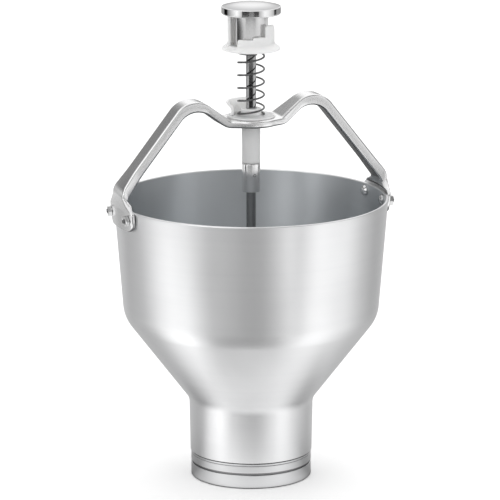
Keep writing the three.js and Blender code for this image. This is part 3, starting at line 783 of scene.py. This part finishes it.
def meeting(normal_a, level_a, normal_b, level_b):
    """Where two lines meet, each given by its unit normal and its distance from the origin."""
    spread = normal_a.x * normal_b.y - normal_a.y * normal_b.x
    across = (level_a * normal_b.y - level_b * normal_a.y) / spread
    up = (normal_a.x * level_b - normal_b.x * level_a) / spread
    return across, up


def bar_half_width(x, height):
    """Half width of the bar at a distance from the axis and a height."""
    if x < blend_reach:
        return math.sqrt(boss_radius**2 - x * x)
    swell = blend_y - math.sqrt(bar_blend**2 - (blend_x - min(x, blend_x)) ** 2)
    taper = mix(ankle_half_width, bar_width / 2, ease((height - ankle) / arm_taper))
    return max(swell, taper)


def foot_width(height):
    """Half width of the foot, with its rounded lower corners and its ears, up to the ankle. Above it: 0."""
    if height > ankle:
        return 0
    ear_top = rim.z - screw_drop + ear_rise
    share = clamp((height - ear_top) / (ankle - ear_top))
    width = mix(ankle_half_width, foot_half_width, (1 + math.cos(math.pi * share)) / 2)
    up = clamp((height - foot_low) / foot_corner)
    return width - foot_corner * (1 - math.sqrt(1 - (1 - up) ** 2))


def bar_face(foot_reach, boss_level, upper):
    """One face of the casting above the ankle, from the foot to the middle of the boss."""
    arm_normal = Vector(polar(1, 90 - arm_slope))
    dip_normal = Vector(polar(1, 90 + dip_slope))
    outwards = bar_thickness / 2 if upper else -bar_thickness / 2
    below = 0 if upper else arm_thickness
    bend = foot_bend if upper else foot_bend - ankle_thickness
    arm_level = arm_normal.dot(Vector((arm_reach, arm_reach_height)))
    dip_level = dip_normal.dot(Vector((dip_reach, (boss_low + boss_high) / 2))) + outwards
    flat, upright = Vector((0, 1)), Vector((1, 0))
    corners = [
        (foot_reach, bend_low),
        (*meeting(arm_normal, arm_level - below, upright, foot_reach), bend),
    ]
    for share in taper_shares:
        place = Vector(meeting(arm_normal, arm_level, flat, ankle + arm_taper * share)) - arm_normal * below
        corners.append(tuple(place))
    corners += [
        (*meeting(arm_normal, arm_level - below, dip_normal, dip_level), crest_radius + outwards),
        (*meeting(dip_normal, dip_level, flat, boss_level), dip_bend - outwards),
    ]
    flat_steps = 24
    for i in range(flat_steps + 1):
        corners.append((flat_reach * math.cos(math.radians(90 * i / flat_steps)), boss_level))
    return rounded(corners, facet=3)


def casting_stations():
    """Sections from the bottom of a foot to the middle of the boss: a point on the outer face, one on the
    inner face, the half width, and how far the section follows the hopper's curve."""
    stations = []
    foot_outer = rim_radius + foot_gap + foot_thickness
    ankle_inner = foot_outer - ankle_thickness
    corner_steps, shank_steps = 10, 20
    turns = [math.radians(90 * i / corner_steps) for i in range(corner_steps)]
    heights = [foot_low + foot_corner * (1 - math.cos(turn)) for turn in turns]
    heights += [mix(foot_low + foot_corner, bend_low, i / shank_steps) for i in range(shank_steps + 1)]
    for z in heights:
        inner = side_radius(z) + foot_gap
        outer = min(inner + foot_thickness, foot_outer)
        stepped = ease((z - rim.z - rim_shelf) / rim_step)
        inner = mix(min(inner, rim_radius + foot_gap), ankle_inner, stepped)
        stations.append((Vector((outer, z)), Vector((inner, z)), foot_width(z), 1))
    upper = bar_face(foot_outer, boss_high, True)
    lower = bar_face(ankle_inner, boss_low, False)
    for outer, inner in list(zip(upper, lower))[1:]:
        width = max(bar_half_width((outer.x + inner.x) / 2, outer.y), foot_width(outer.y))
        stations.append((outer, inner, width, 1 - ease((outer.y - ankle) / arm_taper)))
    return stations


def edge_arc(across, up, radius, start):
    """A quarter turn of points about a centre, clockwise from a direction in degrees."""
    arc = [polar(radius, start - 15 * i) for i in range(7)]
    return [(across + out, up + rise) for out, rise in arc]


def casting_section(outer, inner, width, follow, side):
    """A closed row of points round the bar, with rounded edges, bent round the hopper at the foot."""
    thickness = (outer - inner).length
    fold = (outer - inner) / thickness
    top = min(bar_edge, thickness * outer_edge_share, width)
    bottom = min(bar_edge, thickness * inner_edge_share, width)
    flat_top, flat_bottom = width - top, width - bottom
    spans = 16
    outline = [(mix(-flat_top, flat_top, i / spans), thickness) for i in range(spans)]
    outline += edge_arc(flat_top, thickness - top, top, 90)
    outline += edge_arc(flat_bottom, bottom, bottom, 0)
    outline += [(mix(flat_bottom, -flat_bottom, i / spans), 0) for i in range(1, spans)]
    outline += edge_arc(-flat_bottom, bottom, bottom, 270)
    outline += edge_arc(-flat_top, thickness - top, top, 180)
    row = []
    for y, up in outline[:-1]:
        place = inner + fold * up
        bow = follow * (place.x - math.sqrt(max(place.x**2 - y * y, 0)))
        row.append((side * (place.x - bow), y, place.y))
    return row


def make_handle(finish):
    stations = casting_stations()
    right = [casting_section(*station, 1) for station in stations]
    left = [casting_section(*station, -1) for station in stations[:-1]]
    shape = skin(right + left[::-1], False, capped=True)
    piece("cast_handle", shape, finish, "hopper_body", "handle", sharp=50)


def make_guide_bush(finish):
    bottom, lip, _ = extent("guide_bush")
    flange_low = boss_high + seat
    flange_high = flange_low + bush_flange
    hub_high = flange_high + bush_hub
    corners = [
        (rod_bore, bottom, fine_edge),
        (bush_tube_radius, bottom, 0.6),
        (bush_tube_radius, flange_low),
        (bush_flange_radius, flange_low, fine_edge),
        (bush_flange_radius, flange_high, 0.4),
        (bush_hub_radius, flange_high, 0.5),
        (bush_hub_radius, hub_high, 0.7),
        (rod_bore, hub_high, fine_edge),
    ]
    foot = flange_low + wing_sunk
    wing = [
        (wing_radius - wing_wall, foot),
        (wing_radius, foot),
        (wing_radius, lip - wing_flare, wing_bend),
        (wing_lip_radius, lip - wing_lip_edge, 0.5),
        (wing_lip_radius, lip, 0.4),
        (wing_lip_radius - wing_wall, lip, 0.6),
        (wing_radius - wing_wall, lip - wing_flare + wing_wall, wing_bend),
    ]
    shape = joined(turned(corners, facet=12), swept(wing, wing_from, wing_to))
    piece("nylon_guide_bush", shape, finish, "hopper_body", "guide_bush")


def make_spring(finish):
    """The wire as one round tube: flat turns at both ends and an even pitch between them."""
    floor, ceiling, _ = extent("spring")
    bottom = floor + wire_radius
    rise = ceiling - wire_radius - bottom
    flat_turns = closed_coil / 360
    rising_turns = rise / coil_pitch
    turns = 2 * flat_turns + rising_turns
    sections_a_turn = 48
    steps = round(turns * sections_a_turn)
    rows = []
    for i in range(steps + 1):
        wound = turns * i / steps
        height = bottom + rise * clamp((wound - flat_turns) / rising_turns)
        rows.append(wire_section(coil_radius, wire_radius, spring_start + 360 * wound, height, 12))
    made = piece("return_spring", skin(rows, False, capped=True), finish, "hopper_body", "spring")
    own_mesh(made)


def pointed_out(shape, radius, height, azimuth, tilt=0, along=0):
    """Turns a shape made along the axis so that it points out through a point at that radius and height."""
    matrix = Matrix.Rotation(math.radians(azimuth), 4, "Z")
    matrix @= Matrix.Translation((radius * MM, 0, height * MM))
    matrix @= Matrix.Rotation(math.radians(90 + tilt), 4, "Y")
    matrix @= Matrix.Translation((0, 0, along * MM))
    bmesh.ops.transform(shape, matrix=matrix, verts=shape.verts)
    return shape


def threaded(radius, start, end, pitch=0.7, depth=0.2):
    """Outline corners of a screw thread between two heights, as rings."""
    corners = []
    for i in range(int((end - start) / pitch)):
        corners.append((radius, start + (i + 0.25) * pitch))
        corners.append((radius - depth, start + (i + 0.75) * pitch))
    return corners


def make_fastenings(screw_finish, nut_finish):
    wall = side_radius(rim.z - screw_drop)
    tilt = math.degrees(math.atan((rim_radius - shoulder_radius) / (rim.z - shoulder_height)))
    head_seat = -sheet - foot_gap
    nut_seat = foot_gap + foot_thickness + seat
    grip = nut_seat - head_seat + nut_thickness + screw_end
    screw = [
        (0, -screw_head_height),
        (screw_head_radius * crown_share, -screw_head_height, crown_bend),
        (screw_head_radius, -screw_head_height * side_share, 0.5),
        (screw_head_radius, 0, 0.15),
        (screw_radius, 0),
        *threaded(screw_radius, nut_seat - head_seat, grip - thread_end),
        (screw_radius * tip_share, grip, 0.2),
        (0, grip),
    ]
    azimuths = [screw_angle, 180 - screw_angle, 180 + screw_angle, 360 - screw_angle]
    for i, azimuth in enumerate(azimuths, 1):
        place = (wall, rim.z - screw_drop, azimuth, tilt)
        shape = pointed_out(turned(screw, 48, 6), *place, head_seat)
        piece(f"foot_screw_{i}", shape, screw_finish, "hopper_body", f"handle_screw_{i}")
        shape = pointed_out(hex_nut(nut_across, nut_thickness, screw_radius + nut_gap), *place, nut_seat)
        piece(f"foot_nut_{i}", shape, nut_finish, "hopper_body", f"handle_nut_{i}")


def hex_nut(across, thickness, bore):
    """A nut along the axis, its corners chamfered to a round at both ends."""
    half = across / 2
    rows = []
    for azimuth in range(0, 360, 3):
        flat = half / math.cos(math.radians((azimuth + 30) % 60 - 30))
        drop = (flat - half) * nut_slope
        face, mouth = half * nut_face_share, bore + nut_bevel
        outline = [
            (mouth, 0), (face, 0), (flat, drop), (flat, thickness - drop),
            (face, thickness), (mouth, thickness), (bore, thickness - nut_bevel), (bore, nut_bevel),
        ]
        rows.append(upright(outline, azimuth))
    return skin(rows, True)


def make_portion_dial(finish):
    bottom, top, flange = extent("portion_dial")
    inner = dial_wall_radius - dial_wall
    floor = bottom + dial_floor
    rows = []
    for azimuth in sorted(step_azimuths()):
        height = max(wall_top(azimuth, bottom, top), floor + dial_least_wall)
        outline = rounded([
            (rod_bore, bottom, fine_edge),
            (flange, bottom, 0.35),
            (flange, bottom + dial_flange, 0.8),
            (dial_wall_radius, min(bottom + dial_fillet_height, height - dial_edge), dial_fillet),
            (dial_wall_radius, height, dial_edge),
            (inner, height, dial_edge),
            (inner, floor, 0.1),
            (rod_bore, floor, fine_edge),
        ], True, 17)
        rows.append(upright(outline, azimuth))
    piece("nylon_portion_dial", skin(rows, True), finish, "dial", "portion_dial")


def step_azimuths():
    """Azimuths of the wall's sections: even ones, and close ones beside each step."""
    azimuths = set(range(0, 360, 2))
    nearest = 0.045  # degrees from a step to the first section beside it
    for start, _, _ in wall_steps:
        for i in range(-16, 17):
            azimuths.add((start + math.copysign(i * i, i) * nearest) % 360)
    return azimuths


def wall_top(azimuth, bottom, top):
    """Height of the dial's wall at an azimuth, with the higher corner of each step rounded."""
    height = bottom + (top - bottom) * share_at(azimuth)
    for start, after, bend in wall_steps:
        before = share_at(start - 1)
        away = (azimuth - start + 180) % 360 - 180
        arc = abs(math.radians(away)) * dial_wall_radius
        on_high_side = (away >= 0) == (after > before)
        drop = min(abs(after - before) * (top - bottom), bend)
        if on_high_side and arc < bend:
            height -= drop * (1 - math.sqrt(1 - (1 - arc / bend) ** 2))
    return height


def share_at(azimuth):
    """The wall's height at an azimuth as a share of the dial's height, with no rounding."""
    passed = [share for start, share, _ in wall_steps if azimuth % 360 >= start]
    return passed[-1] if passed else wall_steps[-1][1]


def make_knob(finish):
    bottom, top, radius = extent("thumb_knob")
    band_top = bottom + knob_band
    rise = top - band_top
    dome_radius = (radius**2 + rise**2) / (2 * rise)
    dome_steps = 24
    dome = []
    for i in range(dome_steps, 0, -1):
        across = radius * dome_share * i / dome_steps
        dome.append((across, top - dome_radius + math.sqrt(dome_radius**2 - across**2)))
    corners = [
        (0, bottom + knob_socket),
        (rod_bore, bottom + knob_socket),
        (rod_bore, bottom, fine_edge),
        (radius, bottom, 0.9),
        (radius, band_top, 0.5),
        *dome,
        (0, top),
    ]
    piece("chrome_thumb_knob", turned(corners, 256), finish, "plunger", "thumb_knob")


def make_rods_and_tubes(steel):
    make_tube("satin_core", "knob_core", rod_bore, 0.5, satin_chrome())
    make_tube("coupling_tube", "coupling_sleeve", rod_bore, 0.6, coupling_steel())
    make_tube("thrust_washer", "spring_washer", rod_bore, 0.2, steel)
    make_tube("rod_spacer", "spacer_tube", tail_bore, 0.3, steel)
    make_tube("upper_push_rod", "upper_rod", 0, 0.5, steel)
    tail_end, rod_end, radius = extent("lower_rod")
    shoulder = high("piston").z + seat
    rod = [
        (0, tail_end),
        (tail_radius, tail_end, 0.5),
        (tail_radius, shoulder),
        (radius, shoulder, 0.3),
        (radius, rod_end, 0.4),
        (0, rod_end),
    ]
    piece("lower_push_rod", turned(rod, 96, 12), steel, "plunger", "lower_rod")


def make_piston_and_valve(metal, nut_finish):
    bottom, top, outside = extent("piston")
    centre, _ = middle("piston")
    groove = high("piston_seal").z - centre + seat
    piston = [
        (tail_bore, bottom, fine_edge),
        (outside, bottom, 0.5),
        (outside, centre - groove, fine_edge),
        (outside - piston_groove, centre - groove),
        (outside - piston_groove, centre + groove),
        (outside, centre + groove, fine_edge),
        (outside, top - piston_crown, fine_edge),
        (crown_radius, top, crown_round),
        (tail_bore, top, fine_edge),
    ]
    piece("turned_piston", turned(piston, 192, 10), metal, "plunger", "piston")
    bottom, top, outside = extent("valve_disc")
    disc = [
        (tail_bore, bottom, fine_edge),
        (outside, bottom, 0.4),
        (outside, top - valve_chamfer, fine_edge),
        (outside - valve_chamfer, top, fine_edge),
        (tail_bore, top, fine_edge),
    ]
    piece("turned_valve_disc", turned(disc, 192, 12), metal, "plunger", "valve_disc")
    bottom, top, _ = extent("end_nut")
    corner = high("end_nut").y
    shape = hex_nut(corner * math.sqrt(3), top - bottom, tail_bore)
    bmesh.ops.translate(shape, verts=shape.verts, vec=(0, 0, bottom * MM))
    piece("valve_nut", shape, nut_finish, "plunger", "end_nut")


def make_tube(name, node, bore, edge, finish):
    """A tube as long and wide as its node, with eased edges, or a bar where the bore is 0."""
    bottom, top, outside = extent(node)
    corners = [
        (bore, bottom, fine_edge),
        (outside, bottom, edge),
        (outside, top, edge),
        (bore, top, fine_edge),
    ]
    piece(name, turned(corners, 160, 10), finish, "plunger", node)


def make_pins(finish):
    """The index pin through the core and the set screw in the coupling tube."""
    height, radius = middle("index_pin")
    pin = [(0, 0), (radius, 0), (radius, index_pin_reach, 0.5), (0, index_pin_reach)]
    shape = pointed_out(turned(pin, 48, 10), 0, height, index_pin_azimuth)
    piece("dial_index_pin", shape, finish, "plunger", "index_pin")
    height, radius = middle("coupling_screw")
    start, end = set_screw_start, high("coupling_sleeve").x
    socket = radius * socket_share
    floor = end - socket_depth
    grub = [(0, start), (radius, start), (radius, end, 0.2), (socket, end), (socket, floor), (0, floor)]
    shape = pointed_out(turned(grub, 48, 12), 0, height, set_screw_azimuth)
    piece("coupling_set_screw", shape, finish, "plunger", "coupling_screw")


def bearing(place):
    """Which way a place lies from the axis, as a share of a turn with the camera's azimuth at a half."""
    x, y, _ = place.parts()
    turn = y.maths("ARCTAN2", x) * (1 / (2 * math.pi)) + (0.5 - (camera_azimuth - 90) / 360)
    return turn.maths("FRACT")


def light_plan(share, plan):
    """The light of a plan at a bearing. A ramp's greys end at 1, so they are halved in it."""
    stops = [(0.5 + degrees / 360, level / 2) for degrees, level in plan]
    return share.web.node("ShaderNodeValToRGB", {0: share}, stops=stops) * 2


def make_world():
    """Plain white light, with soft boxes and cards in it that only bright metal shows."""
    world = bpy.data.worlds.new("studio")
    bpy.context.scene.world = world
    world.use_nodes = True
    web = Web(world.node_tree)
    direction = web.node("ShaderNodeTexCoord", give="Generated")
    _, _, up = direction.parts()
    share = bearing(direction)
    mirrored = light_plan(share, low_light)
    mirrored = between(rising(up, *low_to_high), mirrored, light_plan(share, high_light))
    mirrored = between(rising(up, *high_to_upper), mirrored, light_plan(share, upper_light))
    mirrored = between(rising(up, *upper_to_overhead), mirrored, overhead_light)
    glossy = web.node("ShaderNodeLightPath", give="Is Glossy Ray")
    background = web.tree.nodes["Background"]
    web.feed(background.inputs["Color"], (1, 1, 1, 1))
    web.feed(background.inputs["Strength"], between(glossy, 1, mirrored))


def make_floor():
    """A plain white floor that keeps the shadow. Bright metal shows the soft boxes and cards in it."""
    shape = bmesh.new()
    bmesh.ops.create_grid(shape, x_segments=1, y_segments=1, size=floor_half_side)
    floor = put("floor", mesh_of("floor", shape))
    finish = Finish("floor", "").shade(base_color=(1, 1, 1, 1), roughness=1.0, specular_ior_level=0.0)
    place = finish.place()
    share = bearing(place)
    x, y, _ = place.parts()
    reach = off_axis(x, y)
    level = contact_light
    for start, end, plan in floor_plans:
        level = between(rising(reach, start, end), level, light_plan(share, plan))
    mirrored = finish.node("ShaderNodeEmission", {"Strength": level})
    seen = finish.node("ShaderNodeLightPath", give="Is Camera Ray")
    lift = finish.node("ShaderNodeEmission", {"Strength": seen * floor_lift})
    plain = finish.node("ShaderNodeAddShader", {0: Wire(finish, finish.shader.outputs[0]), 1: lift})
    glossy = finish.node("ShaderNodeLightPath", give="Is Glossy Ray")
    both = finish.node("ShaderNodeMixShader", {0: glossy, 1: plain, 2: mirrored})
    finish.feed(finish.tree.nodes["Material Output"].inputs["Surface"], both)
    floor.data.materials.append(finish.material)


def make_lamp(name, azimuth, height, distance, size, power):
    """A soft square lamp that looks at the hopper."""
    light = bpy.data.lights.new(name, "AREA")
    light.shape = "SQUARE"
    light.size = size
    light.energy = power
    lamp = put(name, light)
    place = Vector((*polar(distance, azimuth), height)) * MM
    aim(lamp, place, Vector((0, 0, aim_height * MM)))
    lamp.visible_glossy = False


def make_camera():
    data = bpy.data.cameras.new("photo_camera")
    data.lens = lens_length
    data.sensor_width = film_width
    data.clip_end = 100
    camera = put("photo_camera", data)
    towards_camera = camera_azimuth - 90
    place = Vector((*polar(camera_distance, towards_camera), camera_height)) * MM
    aside = Vector((*polar(aim_left, towards_camera - 90), aim_height)) * MM
    aim(camera, place, aside)
    bpy.context.scene.camera = camera


turned_metal = turned_aluminium()
rod_steel = polished_steel()
white_nylon = nylon()
screw_steel = fastener_steel("screw_steel", (0.7, 0.7, 0.7), (0.82, 0.82, 0.82), 0.17, rim_radius + 3.5)
nut_steel = fastener_steel("nut_steel", (0.76, 0.76, 0.76), (0.86, 0.86, 0.86), 0.31)

make_hopper(spun_aluminium())
make_metering_cylinder(turned_metal)
make_seals(seal_rubber())
make_handle(cast_aluminium())
make_fastenings(screw_steel, nut_steel)
make_guide_bush(white_nylon)
make_spring(spring_wire())
make_portion_dial(white_nylon)
make_knob(chrome())
make_rods_and_tubes(rod_steel)
make_piston_and_valve(turned_metal, nut_steel)
make_pins(rod_steel)
make_world()
make_floor()
make_lamp("overhead_lamp", azimuth=60, height=1500, distance=500, size=1.2, power=4)
make_camera()
bpy.context.scene.view_settings.view_transform = "Standard"
